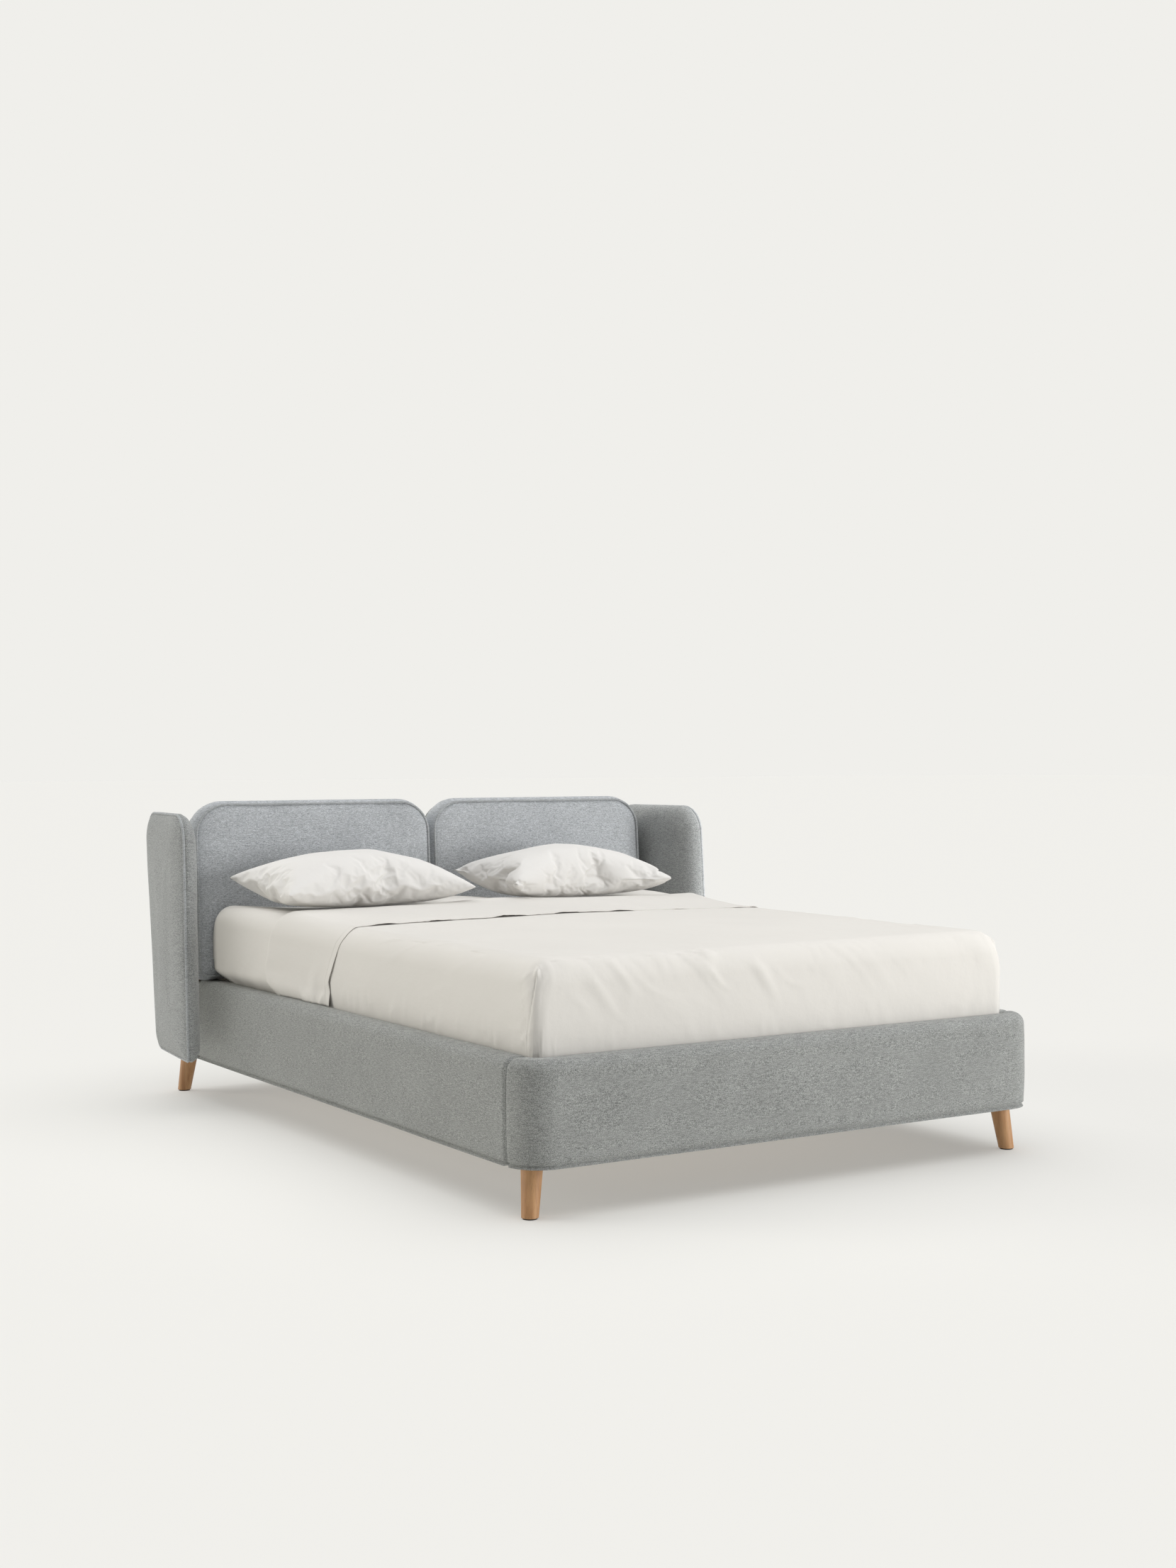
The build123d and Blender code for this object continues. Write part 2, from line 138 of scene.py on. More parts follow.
def creases(along, across, side, length, width, seed, rare=0.0):
    """Separate long folds, from 0 to 1. Length and width are the size of one fold."""
    q = np.column_stack([along / length, across / width, side])
    q[:, 1] += noise(q * (1, 0.35, 1), 1.0, seed + 1) * 0.9
    crest = np.clip(1 - np.abs(noise(q, 1.0, seed)) * 2.0, 0, 1) ** 1.4
    return crest * ease(noise(q * (0.9, 0.5, 1) + 7.3, 1.0, seed + 2), rare - 0.3, rare + 0.35)


def ease(x, low, high):
    """0 below low, 1 above high, smooth between."""
    t = np.clip((np.asarray(x, float) - low) / (high - low), 0, 1)
    return t * t * (3 - 2 * t)


def spaced(low, high, count, edge, edge_count):
    """Positions from low to high, with edge_count closer ones inside each end."""
    middle = np.linspace(low + edge, high - edge, count)
    near = np.linspace(0, edge, edge_count + 1)[:-1]
    return np.concatenate([low + near, middle, (high - near)[::-1]])


def unit(way):
    """A direction of length 1."""
    return way / np.linalg.norm(way)


# ---- meshes ----
def make_object(name, points, faces, material, weld=0.0):
    """A smooth-shaded mesh object; points closer than weld are joined."""
    mesh = bpy.data.meshes.new(name)
    mesh.from_pydata([tuple(p) for p in points], [], [tuple(f) for f in faces])
    work = bmesh.new()
    work.from_mesh(mesh)
    if weld:
        bmesh.ops.remove_doubles(work, verts=work.verts, dist=weld)
    bmesh.ops.recalc_face_normals(work, faces=work.faces)
    work.to_mesh(mesh)
    work.free()
    mesh.polygons.foreach_set("use_smooth", [True] * len(mesh.polygons))
    piece = bpy.data.objects.new(name, mesh)
    scene.collection.objects.link(piece)
    mesh.materials.append(material)
    return piece


def loft_faces(rings, size, closed=True):
    """Quads between rings of the same number of points."""
    faces = []
    for r in range(rings - 1):
        for i in range(size if closed else size - 1):
            j = (i + 1) % size
            faces.append((r * size + i, r * size + j, (r + 1) * size + j, (r + 1) * size + i))
    return faces


def settle(piece, body, slot, *nodes, fill=None):
    """Puts a finished piece on its body, in place of its CAD nodes."""
    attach(piece, body)
    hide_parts(*nodes)


def tube(name, points, material, sides=10):
    """A round cord of cloth along a closed line of points."""
    path = np.asarray(points, float)
    count = len(path)
    along = np.roll(path, -1, 0) - np.roll(path, 1, 0)
    along /= np.linalg.norm(along, axis=1)[:, None]
    side = np.zeros_like(along)
    last = np.cross(along[0], (0.3, 0.5, 0.8))
    for i in range(count):
        last = unit(last - along[i] * (last @ along[i]))
        side[i] = last
    other = np.cross(along, side)
    angle = np.linspace(0, 2 * math.pi, sides, endpoint=False)
    rings = [p + PIPING_RADIUS * (np.cos(angle)[:, None] * s + np.sin(angle)[:, None] * o)
             for p, s, o in zip(path, side, other)]
    faces = loft_faces(count, sides)
    twist = min(range(sides), key=lambda k: np.linalg.norm(rings[-1][0] - rings[0][k]))
    start = (count - 1) * sides
    for i in range(sides):
        j = (i + 1) % sides
        faces.append((start + i, start + j, (j + twist) % sides, (i + twist) % sides))
    return make_object(name, np.concatenate(rings), faces, material)


def outline_ring(corners, inset, arc=9, side=14):
    """A rounded polygon, moved in by inset. Corners are (x, y, radius), anticlockwise."""
    spots = np.array([c[:2] for c in corners], float)
    count = len(corners)
    moved = []
    for i in range(count):
        a, b, c = spots[i - 1], spots[i], spots[(i + 1) % count]
        u, v = unit(b - a), unit(c - b)
        nu, nv = np.array((-u[1], u[0])), np.array((-v[1], v[0]))
        moved.append(b + (nu + nv) * inset / (1 + nu @ nv))
    ring = []
    for i in range(count):
        a, b, c = moved[i - 1], moved[i], moved[(i + 1) % count]
        u, v = unit(b - a), unit(c - b)
        turn = math.acos(max(-1, min(1, u @ v)))
        radius = max(corners[i][2] - inset, 0.004)
        reach = radius * math.tan(turn / 2)
        start = b - u * reach
        centre = start + np.array((-u[1], u[0])) * radius
        for k in range(arc + 1):
            t = turn * k / arc
            out = np.array((u[1], -u[0])) * math.cos(t) + u * math.sin(t)
            ring.append(centre + out * radius)
        next_radius = max(corners[(i + 1) % count][2] - inset, 0.004)
        after = unit(moved[(i + 2) % count] - c)
        next_turn = math.acos(max(-1, min(1, v @ after)))
        side_start = b + v * reach
        side_end = c - v * next_radius * math.tan(next_turn / 2)
        for k in range(1, side):
            ring.append(side_start + (side_end - side_start) * k / side)
    return np.array(ring)


def padded_slab(name, corners, place, rim, crown_front, crown_back, material, seed, swell=0.0015):
    """A stuffed panel: rim rings of (inset, depth) joined to a crowned front and back.

    Depth grows from the front to the back. place turns (x, y, depth) into points of the frame.
    """
    shares = [0.97, 0.93, 0.87, 0.79, 0.69, 0.57, 0.43, 0.28, 0.14]
    layers = []
    first = outline_ring(corners, rim[0][0])
    last = outline_ring(corners, rim[-1][0])
    middle_first, middle_last = first.mean(0), last.mean(0)
    for s in reversed(shares):
        depth = rim[0][1] - crown_front * (1 - s ** 2.6)
        layers.append((middle_first + (first - middle_first) * s, depth))
    for inset, depth in rim:
        layers.append((outline_ring(corners, inset), depth))
    for s in shares:
        depth = rim[-1][1] + crown_back * (1 - s ** 2.6)
        layers.append((middle_last + (last - middle_last) * s, depth))
    size = len(first)
    flat = np.concatenate([np.column_stack([xy, np.full(size, depth)]) for xy, depth in layers])
    soft = noise(flat, 0.16, seed) * swell + noise(flat, 0.05, seed + 1) * swell * 0.25
    flat[:, 2] += soft
    front_middle = [*middle_first, rim[0][1] - crown_front]
    back_middle = [*middle_last, rim[-1][1] + crown_back]
    flat = np.vstack([flat, front_middle, back_middle])
    faces = loft_faces(len(layers), size)
    front, back = len(flat) - 2, len(flat) - 1
    tail = (len(layers) - 1) * size
    for i in range(size):
        j = (i + 1) % size
        faces.append((front, j, i))
        faces.append((back, tail + i, tail + j))
    return make_object(name, place(flat), faces, material)


# ---- materials ----
def new_material(name, roughness, sheen=0.0, specular=0.5):
    """A material with its node tree and its main shader."""
    material = bpy.data.materials.new(name)
    material.use_nodes = True
    nodes = material.node_tree.nodes
    shader = nodes["Principled BSDF"]
    shader.inputs["Roughness"].default_value = roughness
    shader.inputs["Specular IOR Level"].default_value = specular
    shader.inputs["Sheen Weight"].default_value = sheen
    shader.inputs["Sheen Roughness"].default_value = 0.45
    return material, material.node_tree, shader


def node(tree, kind, **sockets):
    """A new shader node with the given values in its sockets."""
    made = tree.nodes.new(kind)
    for key, value in sockets.items():
        made.inputs[key].default_value = value
    return made


def speckle(tree, scale, stretch=(1, 1, 1), detail=2.0):
    """The socket of noise in the frame's metres; scale is features per metre."""
    place = tree.nodes.new("ShaderNodeTexCoord")
    mapping = node(tree, "ShaderNodeMapping", Scale=stretch)
    made = node(tree, "ShaderNodeTexNoise", Scale=scale, Detail=detail)
    tree.links.new(place.outputs["Object"], mapping.inputs["Vector"])
    tree.links.new(mapping.outputs["Vector"], made.inputs["Vector"])
    return made.outputs["Fac"]


def ramp(tree, source, stops):
    """The socket of a number turned into a colour by (place, colour) stops."""
    made = tree.nodes.new("ShaderNodeValToRGB")
    elements = made.color_ramp.elements
    while len(elements) < len(stops):
        elements.new(0.5)
    for element, (spot, colour) in zip(elements, stops):
        element.position = spot
        element.color = (*colour, 1)
    tree.links.new(source, made.inputs["Fac"])
    return made.outputs["Color"]


def mix(tree, factor, a, b, mode="MIX"):
    """The socket of two colours mixed; each may be a colour or a socket."""
    made = tree.nodes.new("ShaderNodeMix")
    made.data_type = "RGBA"
    made.blend_type = mode
    for socket, value in ((made.inputs[0], factor), (made.inputs[6], a), (made.inputs[7], b)):
        if isinstance(value, bpy.types.NodeSocket):
            tree.links.new(value, socket)
        else:
            socket.default_value = value if isinstance(value, float) else (*value, 1)
    return made.outputs[2]


def dress(tree, shader, colour, height, strength, distance):
    """Gives the shader its colour, and small relief from height."""
    tree.links.new(colour, shader.inputs["Base Color"])
    made = node(tree, "ShaderNodeBump", Strength=strength, Distance=distance)
    tree.links.new(height, made.inputs["Height"])
    tree.links.new(made.outputs["Normal"], shader.inputs["Normal"])


def added(tree, a, b, share):
    """The socket of a plus a share of b."""
    made = tree.nodes.new("ShaderNodeMath")
    made.operation = "MULTIPLY_ADD"
    tree.links.new(b, made.inputs[0])
    made.inputs[1].default_value = share
    tree.links.new(a, made.inputs[2])
    return made.outputs[0]


def halfway(a, b):
    """The colour between two colours."""
    return tuple((p + q) / 2 for p, q in zip(a, b))


def heather_fabric(name, light, dark, streak=(1, 1, 1)):
    """Woven upholstery whose threads are dyed in several greys."""
    material, tree, shader = new_material(name, 0.92, sheen=0.25, specular=0.2)
    speck = speckle(tree, 560, streak)
    thread = speckle(tree, 300, (0.22, 0.22, 1.6))
    tone = ramp(tree, speck, [(0.33, dark), (0.47, halfway(dark, light)), (0.62, light)])
    streaks = ramp(tree, thread, [(0.34, (0.74,) * 3), (0.6, (1.08,) * 3)])
    clouds = ramp(tree, speckle(tree, 5), [(0.3, (0.94,) * 3), (0.7, (1.04,) * 3)])
    shaded = mix(tree, 0.85, tone, streaks, "MULTIPLY")
    colour = mix(tree, 1.0, shaded, clouds, "MULTIPLY")
    height = added(tree, speckle(tree, 700), thread, 0.8)
    dress(tree, shader, colour, height, 0.35, 0.0012)
    return material


def cotton(name, colour, crease=0.35):
    """Washed plain-weave cotton with small creases."""
    material, tree, shader = new_material(name, 0.85, sheen=0.15, specular=0.15)
    darker = tuple(c * 0.975 for c in colour)
    tint = ramp(tree, speckle(tree, 3, detail=3), [(0.3, darker), (0.7, colour)])
    weave = speckle(tree, 1500, detail=1)
    small = speckle(tree, 26, (1, 0.6, 1), detail=4)
    dress(tree, shader, tint, added(tree, small, weave, 0.04), crease, 0.004)
    return material


def wood(name, light, dark, stretch=(1, 1, 0.07), scale=70, gloss=0.45):
    """Timber with grain along the axis that stretch makes short."""
    material, tree, shader = new_material(name, gloss, specular=0.4)
    grain = speckle(tree, scale, stretch, detail=5)
    pores = speckle(tree, scale * 6, stretch)
    tone = ramp(tree, grain, [(0.35, dark), (0.5, halfway(dark, light)), (0.66, light)])
    dots = ramp(tree, pores, [(0.34, (0.82,) * 3), (0.46, (1.0,) * 3)])
    colour = mix(tree, 0.7, tone, dots, "MULTIPLY")
    dress(tree, shader, colour, grain, 0.15, 0.0006)
    return material


def metal(name):
    """Brushed steel."""
    material, tree, shader = new_material(name, 0.35)
    shader.inputs["Metallic"].default_value = 1.0
    scratch = speckle(tree, 90, (1, 8, 1), detail=3)
    tone = ramp(tree, scratch, [(0.3, (0.45, 0.45, 0.46)), (0.7, (0.66, 0.66, 0.67))])
    dress(tree, shader, tone, scratch, 0.1, 0.0004)
    return material


def plain(name, light, dark, scale, roughness):
    """A moulded or matted surface with slight mottling."""
    material, tree, shader = new_material(name, roughness)
    grain = speckle(tree, scale, detail=3)
    tone = ramp(tree, grain, [(0.3, dark), (0.7, light)])
    dress(tree, shader, tone, grain, 0.2, 0.0006)
    return material


rail_fabric = heather_fabric("rail_fabric", (0.40, 0.41, 0.395), (0.145, 0.152, 0.148))
wing_fabric = heather_fabric("wing_fabric", (0.455, 0.468, 0.462), (0.158, 0.167, 0.167))
panel_fabric = heather_fabric("headboard_fabric", (0.62, 0.645, 0.665), (0.28, 0.295, 0.315), (0.4, 1, 1.6))
# The piping's colour is its own grey drawn lighter than the wing fabric: a painted highlight along the
# round cords.
piping_fabric = heather_fabric("piping_fabric", (0.52, 0.54, 0.55), (0.29, 0.305, 0.315))
sheet_cotton = cotton("sheet_cotton", (0.728, 0.706, 0.666))
pillow_cotton = cotton("pillow_cotton", (0.775, 0.760, 0.735), crease=0.3)
leg_wood = wood("leg_wood", (0.56, 0.32, 0.155), (0.40, 0.20, 0.085))
board_wood = wood("board_wood", (0.62, 0.46, 0.28), (0.46, 0.32, 0.18), (0.07, 1, 1), 60, 0.6)
slat_wood = wood("slat_wood", (0.70, 0.55, 0.36), (0.55, 0.41, 0.25), (0.06, 1, 1), 60, 0.55)
steel = metal("steel")
black_plastic = plain("black_plastic", (0.03, 0.03, 0.03), (0.018, 0.018, 0.018), 300, 0.5)
felt = plain("felt", (0.07, 0.065, 0.06), (0.035, 0.033, 0.03), 900, 0.95)
webbing = plain("webbing", (0.6, 0.59, 0.56), (0.42, 0.41, 0.39), 700, 0.9)
slot_material = {
    "rail_fabric": rail_fabric,
    "wing_fabric": wing_fabric,
    "headboard_fabric": panel_fabric,
    "piping_fabric": piping_fabric,
    "back_fabric": rail_fabric,
    "leg_wood": leg_wood,
    "board_wood": board_wood,
    "slat_wood": slat_wood,
    "steel": steel,
    "plastic_feet": black_plastic,
    "felt": felt,
    "webbing": webbing,
    "mattress_ticking": sheet_cotton,
    "sheet_cotton": sheet_cotton,
    "pillow_ticking": pillow_cotton,
    "pillow_cotton": pillow_cotton,
}


def dress_cad_nodes():
    """Gives every CAD node the material of its slot in the record."""
    for entry in frame["record"]["subparts"]:
        piece = frame["nodes"][entry["node"]]
        piece.data.materials.clear()
        piece.data.materials.append(slot_material[entry["material_slot"]])


# ---- padded rails ----
SEAM_ROLL = 0.006
RAIL_BELLY = 0.0045
CORNER_STEPS = 40
END_STEPS = (0, 0.0006, 0.0012, 0.002, 0.003)


def rail_section():
    """(share of the thickness from the outside, height) round a rail, anticlockwise."""
    top_round = 0.030 / rail_thick
    inner_round = 0.018 / rail_thick
    low_round = 0.012 / rail_thick
    high = rail_top - rail_bottom
    points = []
    for z in np.linspace(0.014, high - 0.034, 22):
        points.append((0.0, z))
    for t in np.linspace(0, math.pi / 2, 9):
        points.append((top_round * (1 - math.cos(t)), high - 0.030 + 0.030 * math.sin(t)))
    for s in np.linspace(top_round + 0.08, 1 - inner_round - 0.04, 5):
        points.append((s, high))
    for t in np.linspace(0, math.pi / 2, 6):
        points.append((1 - inner_round + inner_round * math.sin(t), high - 0.018 + 0.018 * math.cos(t)))
    for z in np.linspace(high - 0.04, 0.02, 6):
        points.append((1.0, z))
    for s in np.linspace(1.0, low_round, 6):
        points.append((s, 0.0))
    for t in np.linspace(math.pi / 2, 0.3, 4):
        points.append((low_round * (1 - math.sin(t) * 0.999) + 0.001, 0.012 - 0.012 * math.sin(t)))
    return np.array(points)


def rail_cover(name, outer, inner, seed, node_name, blunt):
    """A padded cover between an outer and an inner plan line, both of the same number of points.

    blunt says, for each end, whether the padding rolls in there as it does at a seam.
    """
    section = rail_section()
    high = rail_top - rail_bottom
    outer, inner = np.array(outer, float), np.array(inner, float)
    run = np.concatenate([[0], np.cumsum(np.linalg.norm(np.diff(outer, axis=0), axis=1))])
    rings = []
    for i, (a, b) in enumerate(zip(outer, inner)):
        outward = unit(a - b)
        draw = 0.0
        for from_end, rolled in zip((run[i], run[-1] - run[i]), blunt):
            if rolled:
                draw += SEAM_ROLL * (1 - ease(from_end, 0, 0.014)) ** 1.5
        s, z = section[:, 0], section[:, 1]
        flat = a + np.outer(s, b - a)
        belly = np.sin(np.clip(z / high, 0, 1) * math.pi) ** 0.8 * RAIL_BELLY
        flat = flat + np.outer((belly - draw) * (1 - ease(s, 0.0, 0.6)), outward)
        level = rail_bottom + z - draw * ease(z, high - 0.05, high) + draw * 0.5 * (1 - ease(z, 0, 0.02))
        rings.append(np.column_stack([flat, level]))
    points = np.concatenate(rings)
    push = noise(points, 0.22, seed) * 0.0016 + noise(points, 0.07, seed + 3) * 0.0004
    middle = np.repeat((outer + inner) / 2, len(section), axis=0)
    away = points[:, :2] - middle
    away /= np.linalg.norm(away, axis=1)[:, None]
    points[:, :2] += away * push[:, None]
    faces = loft_faces(len(rings), len(section))
    faces.append(tuple(range(len(section))))
    faces.append(tuple((len(rings) - 1) * len(section) + k for k in range(len(section))))
    piece = make_object(name, points, faces, rail_fabric)
    settle(piece, "bed_frame", "rail_fabric", node_name, fill=0.9)


def foot_plan():
    """Outer and inner plan lines of the foot cover, from its left seam to its right seam."""
    radius, inner_radius = FOOT_CORNER, 0.012
    outer, inner = [], []
    for y in seam_y - np.array(END_STEPS):
        outer.append((-half_width, y))
        inner.append((-rail_inner_x, y))
    for t in np.linspace(0, math.pi / 2, CORNER_STEPS)[1:-1]:
        outer.append((-half_width + radius * (1 - math.cos(t)), foot_y + radius * (1 - math.sin(t))))
        inner.append((-rail_inner_x + inner_radius * (1 - math.cos(t)),
                      rail_inner_y + inner_radius * (1 - math.sin(t))))
    for x in np.linspace(-half_width + radius, half_width - radius, 71):
        outer.append((x, foot_y))
        inner.append((x * (rail_inner_x - inner_radius) / (half_width - radius), rail_inner_y))
    left_end = len(END_STEPS) + CORNER_STEPS - 2
    for k in reversed(range(left_end)):
        outer.append((-outer[k][0], outer[k][1]))
        inner.append((-inner[k][0], inner[k][1]))
    return outer, inner


def make_rails():
    """The foot cover with its two rounded corners, and the two side covers."""
    outer, inner = foot_plan()
    rail_cover("foot_rail_upholstery", outer, inner, 11, "foot_rail_cover", (True, True))
    for side, label in ((-1, "left"), (1, "right")):
        rows = np.concatenate([spaced(seam_y, seam_y + 0.1, 6, 0.014, 6),
                               np.linspace(seam_y + 0.13, rail_high.y, 70)])
        outer = [(side * half_width, y) for y in rows]
        inner = [(side * rail_inner_x, y) for y in rows]
        rail_cover(f"side_rail_upholstery_{label}", outer, inner, 20 + side,
                   f"side_rail_cover_{label}", (True, False))


# ---- headboard ----
def headboard_place(side):
    """Turns a cushion's own (x, y, depth) into points of the frame."""
    def place(flat):
        x, y, depth = flat[:, 0], flat[:, 1], flat[:, 2]
        across = side * x
        back = CUSHION_FRONT + y * math.sin(LEAN) + depth * math.cos(LEAN)
        up = CUSHION_TOP + y * math.cos(LEAN) - depth * math.sin(LEAN)
        return np.column_stack([across, back, up])
    return place


def cushion_corners():
    """The right cushion's outline from its top edge down: (x, y, corner radius)."""
    low = (cushion_low.z - CUSHION_TOP) / math.cos(LEAN) + 0.008
    return [
        (cushion_low.x, low, 0.03),
        (cushion_high.x, low, 0.03),
        (cushion_high.x, 0.0, CUSHION_CORNER),
        (cushion_low.x, 0.0, CUSHION_CORNER),
    ]


def make_headboard():
    """Two leaning cushions, each with piping round its front edge."""
    rim = [(0.070, -0.0105), (0.045, -0.0085), (0.028, -0.0060), (0.016, -0.0030), (0.009, -0.0004),
           (0.005, 0.0022), (0.0025, 0.0040), (0.0005, 0.0042), (-0.0020, 0.0062), (-0.0050, 0.0105),
           (-0.0095, 0.018), (-0.0130, 0.030), (-0.0140, 0.045), (-0.0125, 0.062), (-0.0080, 0.076),
           (-0.001, 0.085), (0.010, 0.0895), (0.03, CUSHION_THICK)]
    for side, label in ((-1, "left"), (1, "right")):
        place = headboard_place(side)
        cushion = padded_slab(f"headboard_pad_{label}", cushion_corners(), place, rim, 0.007, 0.0,
                              panel_fabric, 40 + side, swell=0.0022)
        settle(cushion, "bed_frame", "headboard_fabric", f"headboard_cushion_{label}", fill=0.8)
        ring = outline_ring(cushion_corners(), PIPING_INSET, arc=16, side=40)
        wander = noise(np.column_stack([ring, np.zeros(len(ring))]), 0.05, 51) * 0.0004
        line = np.column_stack([ring, 0.0005 + wander])
        # The cord's lighter colour is partly a painted highlight.
        cord = tube(f"headboard_welt_{label}", place(line), piping_fabric)
        settle(cord, "bed_frame", "piping_fabric", f"headboard_piping_{label}")


# ---- wings ----
def wing_place(side):
    """Turns a wing's own (back, up, depth from the outer face) into points of the frame."""
    def place(flat):
        back, up, depth = flat[:, 0], flat[:, 1], flat[:, 2]
        x = WING_X - back * math.sin(FLARE) - depth * math.cos(FLARE)
        y = WING_Y + back * math.cos(FLARE) - depth * math.sin(FLARE)
        return np.column_stack([side * x, y, up])
    return place


def wing_corners():
    """A wing's outline: (distance back, height, corner radius)."""
    return [
        (-0.035, WING_BOTTOM, 0.010),
        (0.370, WING_BOTTOM, 0.075),
        (0.505, WING_TOP, 0.085),
        (0.018, WING_TOP, 0.098),
    ]


WING_ROLL = 0.125
WING_BULGE = 0.0250
WING_INSIDE = 0.049


def wing_rim():
    """(inset, depth) from a wing's bulging outer face over its edge to its inner face."""
    rim = [(0.150, -0.0235)]
    for t in np.linspace(86, 7, 12):
        a = math.radians(t)
        rim.append((WING_ROLL * (1 - math.cos(a)) + 0.002, 0.0020 - WING_BULGE * math.sin(a)))
    rim += [(0.0005, 0.0036), (-0.0015, 0.0058), (-0.003, 0.010), (-0.0030, 0.015)]
    for t in np.linspace(9, 88, 12):
        a = math.radians(t)
        rim.append((WING_ROLL * (1 - math.cos(a)) + 0.0005, 0.015 + WING_INSIDE * math.sin(a)))
    rim.append((0.145, 0.0645))
    return rim


def make_wings():
    """Two padded wings, each with piping round its outer face."""
    rim = wing_rim()
    for side, label in ((-1, "left"), (1, "right")):
        place = wing_place(side)
        pad = padded_slab(f"wing_pad_{label}", wing_corners(), place, rim, 0.004, 0.004,
                          wing_fabric, 60 + side, swell=0.002)
        settle(pad, "bed_frame", "wing_fabric", f"wing_cushion_{label}", f"wing_outer_panel_{label}",
               fill=0.8)
        ring = outline_ring(wing_corners(), PIPING_INSET, arc=16, side=40)
        line = np.column_stack([ring, np.full(len(ring), 0.0002)])
        # The cord's lighter colour is partly a painted highlight.
        cord = tube(f"wing_welt_{label}", place(line), piping_fabric)
        settle(cord, "bed_frame", "piping_fabric", f"wing_piping_{label}")


# ---- mattress and sheets ----
MATTRESS_CROWN = 0.010
TOP_EDGE = 0.062
SIDE_EDGE = 0.055
UPRIGHT_EDGE = 0.028
FOLD_Y = foot_y + 1.665
HEM_Y = foot_y + 1.250
TUCK_Z = rail_top - 0.045
SHEET_TOP = mattress_high.z - 0.004
HEAD_RISE = 0.022
HEAD_REACH = 0.022
HEAD_SWELL = 0.056
FINE_BAND = 0.06


def bed_surface(x, y, z, gap):
    """Rounds points on a sharp box round the mattress, and moves them out by gap.

    Returns the points and the outward directions.
    """
    low = np.array((mattress_low.x, mattress_low.y, -1.0))
    high = np.array((mattress_high.x, mattress_high.y, SHEET_TOP))
    sharp = np.column_stack([x, y, z])
    plan = UPRIGHT_EDGE + (SIDE_EDGE - UPRIGHT_EDGE) * ease(z, high[2] - 0.13, high[2] - 0.02)
    radius = np.column_stack([plan, plan, np.full(len(plan), TOP_EDGE)])
    core = np.clip(sharp, low + radius, high - radius)
    lean = (sharp - core) / radius
    size = np.linalg.norm(lean, axis=1)
    size[size < 1e-9] = 1
    way = lean / size[:, None]
    points = core + way * radius
    out = way / radius
    out /= np.linalg.norm(out, axis=1)[:, None]
    across = np.clip(1 - (points[:, 0] / high[0]) ** 2, 0, 1)
    middle, half = (low[1] + high[1]) / 2, (high[1] - low[1]) / 2
    along = np.clip(1 - ((points[:, 1] - middle) / half) ** 4, 0, 1)
    points[:, 2] += MATTRESS_CROWN * across * along * ease(points[:, 2], high[2] - 0.1, high[2])
    belly = np.sin(np.clip((points[:, 2] - 0.35) / 0.29, 0, 1) * math.pi) * 0.004
    points[:, :2] += out[:, :2] * belly[:, None]
    swell_head_end(points)
    return points + out * gap, out


def swell_head_end(points):
    """The head end is wider, longer and higher than the foot end, and dips under the pillows."""
    loose = ease(points[:, 1], foot_y + 1.25, foot_y + 2.05)
    loose = loose * ease(points[:, 2], rail_top - 0.012, rail_top + 0.045)
    outer_part = ease(np.abs(points[:, 0]), 0.5, 0.8)
    points[:, 0] += np.sign(points[:, 0]) * loose * HEAD_SWELL * outer_part
    reach = ease(points[:, 1], mattress_high.y - 0.3, mattress_high.y)
    points[:, 1] += reach * HEAD_REACH * ease(points[:, 2], rail_top, rail_top + 0.15)
    rise = ease(points[:, 1], foot_y + 1.20, foot_y + 2.0)
    rise = rise * ease(points[:, 2], rail_top, mattress_high.z - 0.05)
    dip = np.exp(-((np.abs(points[:, 0]) - 0.42) / 0.30) ** 4)
    dip = dip * ease(points[:, 1], foot_y + 1.5, foot_y + 1.75)
    points[:, 2] += HEAD_RISE * rise * (1 - 0.85 * dip)


def skirt_levels(low_z, count):
    """Heights down a sheet's sides, closer together round the top edge."""
    edge = SHEET_TOP - np.linspace(0, FINE_BAND, 13)[1:]
    return np.concatenate([edge, np.linspace(SHEET_TOP - FINE_BAND, low_z, count)[1:]])


def bed_skin(y_foot, y_head, low_z, gap, head_side, nx=90, ny=110, nz=30):
    """A sheet over the mattress: a top grid and a skirt.

    Returns its points, their outward directions, its faces, and for each point how far along
    the side of the bed it lies from the nearest foot corner (less than 0: along the foot).
    """
    xs = spaced(mattress_low.x, mattress_high.x, nx, FINE_BAND, 20)
    head_edge = FINE_BAND if head_side else 0.0
    ys = np.linspace(y_foot + FINE_BAND, y_head - head_edge, ny)
    ys = np.concatenate([np.linspace(y_foot, y_foot + FINE_BAND, 21)[:-1], ys])
    if head_side:
        ys = np.concatenate([ys, np.linspace(y_head - head_edge, y_head, 21)[1:]])
    grid_x, grid_y = np.meshgrid(xs, ys, indexing="ij")
    count_x, count_y = grid_x.shape
    sharp = [np.column_stack([grid_x.ravel(), grid_y.ravel(), np.full(grid_x.size, SHEET_TOP)])]
    faces = []
    for i in range(count_x - 1):
        for j in range(count_y - 1):
            a = i * count_y + j
            faces.append((a, a + count_y, a + count_y + 1, a + 1))
    loop = [(0, j) for j in range(count_y - 1, 0, -1)]
    loop += [(i, 0) for i in range(count_x)]
    loop += [(count_x - 1, j) for j in range(1, count_y)]
    if head_side:
        loop += [(i, count_y - 1) for i in range(count_x - 2, 0, -1)]
    ids = [i * count_y + j for i, j in loop]
    rim = sharp[0][ids]
    zs = skirt_levels(low_z, nz)
    start = grid_x.size
    size = len(ids)
    for row, z in enumerate(zs):
        lowered = rim.copy()
        lowered[:, 2] = z
        sharp.append(lowered)
        for k in range(size if head_side else size - 1):
            m = (k + 1) % size
            here = start + row * size
            above = (ids[k], ids[m]) if row == 0 else (here - size + k, here - size + m)
            faces.append((above[0], above[1], here + m, here + k))
    sharp = np.concatenate(sharp)
    points, out = bed_surface(sharp[:, 0], sharp[:, 1], sharp[:, 2], gap)
    past_corner = (sharp[:, 1] - mattress_low.y) - (mattress_high.x - np.abs(sharp[:, 0]))
    return points, out, faces, past_corner


